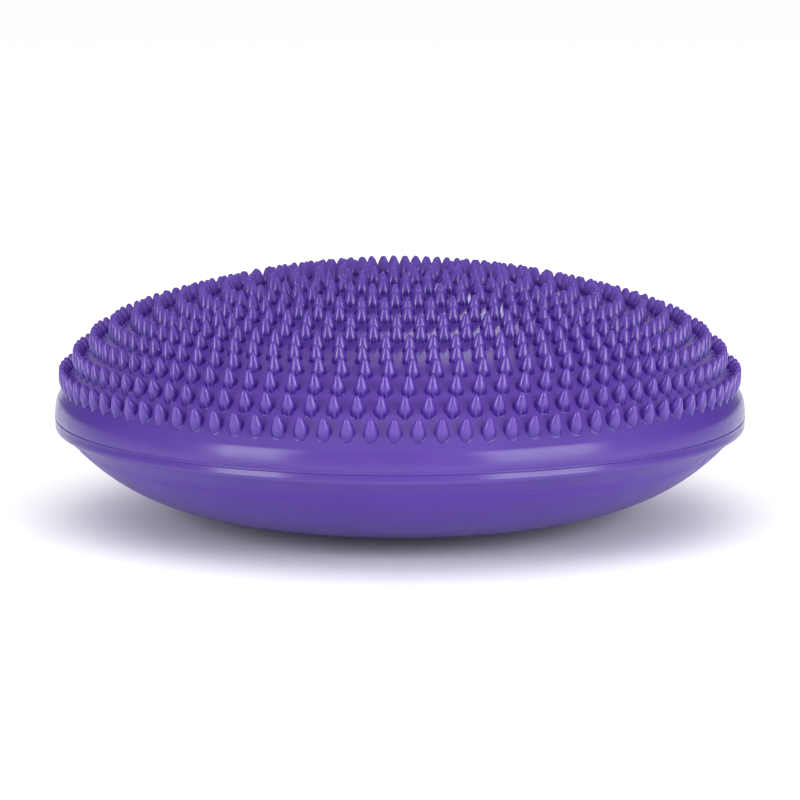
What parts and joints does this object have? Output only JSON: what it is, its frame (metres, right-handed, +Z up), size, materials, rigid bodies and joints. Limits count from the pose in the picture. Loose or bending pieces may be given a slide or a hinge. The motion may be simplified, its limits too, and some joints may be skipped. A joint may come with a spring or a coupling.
{
  "type": "air-filled balance pad",
  "caption": "Round inflatable balance pad with a studded upper face, a double-bead rim, a smooth domed underside and a plugged air valve.",
  "frame": {"origin": "centre of the flat patch on which the inflated pad rests", "axes": "+Z up through the crown, -Y towards the front, +X to the right; the valve is at +Y in the underside"},
  "size_m": [0.322, 0.322, 0.119],
  "materials": {
    "upper_skin_pvc": "glossy soft PVC",
    "lower_skin_pvc": "glossy soft PVC",
    "upper_bead_pvc": "glossy soft PVC",
    "lower_bead_pvc": "glossy soft PVC",
    "seam_weld_pvc": "welded soft PVC",
    "valve_seat_pvc": "satin soft PVC",
    "valve_boss_pvc": "satin soft PVC",
    "valve_plug_pvc": "satin"
  },
  "bodies": {
    "base": {"lower_skin_centre": "lower_skin_pvc"},
    "lower_ring_1": {"lower_skin_zone_01": "lower_skin_pvc"},
    "lower_ring_2": {"lower_skin_zone_02": "lower_skin_pvc", "valve_seat": "valve_seat_pvc", "valve_boss": "valve_boss_pvc"},
    "lower_ring_3": {"lower_skin_zone_03": "lower_skin_pvc"},
    "rim": {"rim_upper_bead": "upper_bead_pvc", "rim_seam_weld": "seam_weld_pvc", "rim_lower_bead": "lower_bead_pvc", "lower_skin_flank": "lower_skin_pvc", "upper_skin_zone_01": "upper_skin_pvc"},
    "upper_ring_02": {"upper_skin_zone_02": "upper_skin_pvc"},
    "upper_ring_03": {"upper_skin_zone_03": "upper_skin_pvc"},
    "upper_ring_04": {"upper_skin_zone_04": "upper_skin_pvc"},
    "upper_ring_05": {"upper_skin_zone_05": "upper_skin_pvc"},
    "upper_ring_06": {"upper_skin_zone_06": "upper_skin_pvc"},
    "upper_ring_07": {"upper_skin_zone_07": "upper_skin_pvc"},
    "upper_ring_08": {"upper_skin_zone_08": "upper_skin_pvc"},
    "upper_ring_09": {"upper_skin_zone_09": "upper_skin_pvc"},
    "crown": {"upper_skin_zone_10": "upper_skin_pvc"},
    "plug": {"valve_plug": "valve_plug_pvc"}
  },
  "joints": [
    {"name": "air_compress", "type": "slide", "parent": "base", "child": "crown", "axis": [0, 0, 1], "range_m": [-0.031, 0], "stiffness_N_per_m": 20000},
    {"name": "upper_ring_02_sink", "type": "slide", "parent": "base", "child": "upper_ring_02", "axis": [0, 0, 1], "range_m": [-0.01365, 0]},
    {"name": "upper_ring_03_sink", "type": "slide", "parent": "base", "child": "upper_ring_03", "axis": [0, 0, 1], "range_m": [-0.01714, 0]},
    {"name": "upper_ring_04_sink", "type": "slide", "parent": "base", "child": "upper_ring_04", "axis": [0, 0, 1], "range_m": [-0.01981, 0]},
    {"name": "upper_ring_05_sink", "type": "slide", "parent": "base", "child": "upper_ring_05", "axis": [0, 0, 1], "range_m": [-0.0217, 0]},
    {"name": "upper_ring_06_sink", "type": "slide", "parent": "base", "child": "upper_ring_06", "axis": [0, 0, 1], "range_m": [-0.02392, 0]},
    {"name": "upper_ring_07_sink", "type": "slide", "parent": "base", "child": "upper_ring_07", "axis": [0, 0, 1], "range_m": [-0.02643, 0]},
    {"name": "upper_ring_08_sink", "type": "slide", "parent": "base", "child": "upper_ring_08", "axis": [0, 0, 1], "range_m": [-0.02843, 0]},
    {"name": "upper_ring_09_sink", "type": "slide", "parent": "base", "child": "upper_ring_09", "axis": [0, 0, 1], "range_m": [-0.02987, 0]},
    {"name": "rim_sink", "type": "slide", "parent": "base", "child": "rim", "axis": [0, 0, 1], "range_m": [-0.00955, 0]},
    {"name": "lower_ring_1_sink", "type": "slide", "parent": "base", "child": "lower_ring_1", "axis": [0, 0, 1], "range_m": [-0.0007, 0]},
    {"name": "lower_ring_2_sink", "type": "slide", "parent": "base", "child": "lower_ring_2", "axis": [0, 0, 1], "range_m": [-0.00187, 0]},
    {"name": "lower_ring_3_sink", "type": "slide", "parent": "base", "child": "lower_ring_3", "axis": [0, 0, 1], "range_m": [-0.00495, 0]},
    {"name": "plug_pull", "type": "slide", "parent": "lower_ring_2", "child": "plug", "axis": [0, 0.2222, -0.975], "range_m": [0, 0.012]}
  ],
  "couplings": [
    {"joint": "upper_ring_02_sink", "follows": "air_compress", "ratio": 0.4388},
    {"joint": "upper_ring_03_sink", "follows": "air_compress", "ratio": 0.5513},
    {"joint": "upper_ring_04_sink", "follows": "air_compress", "ratio": 0.6374},
    {"joint": "upper_ring_05_sink", "follows": "air_compress", "ratio": 0.6985},
    {"joint": "upper_ring_06_sink", "follows": "air_compress", "ratio": 0.7701},
    {"joint": "upper_ring_07_sink", "follows": "air_compress", "ratio": 0.8511},
    {"joint": "upper_ring_08_sink", "follows": "air_compress", "ratio": 0.9154},
    {"joint": "upper_ring_09_sink", "follows": "air_compress", "ratio": 0.9619},
    {"joint": "rim_sink", "follows": "air_compress", "ratio": 0.3065},
    {"joint": "lower_ring_1_sink", "follows": "air_compress", "ratio": 0.0211},
    {"joint": "lower_ring_2_sink", "follows": "air_compress", "ratio": 0.0587},
    {"joint": "lower_ring_3_sink", "follows": "air_compress", "ratio": 0.158}
  ]
}
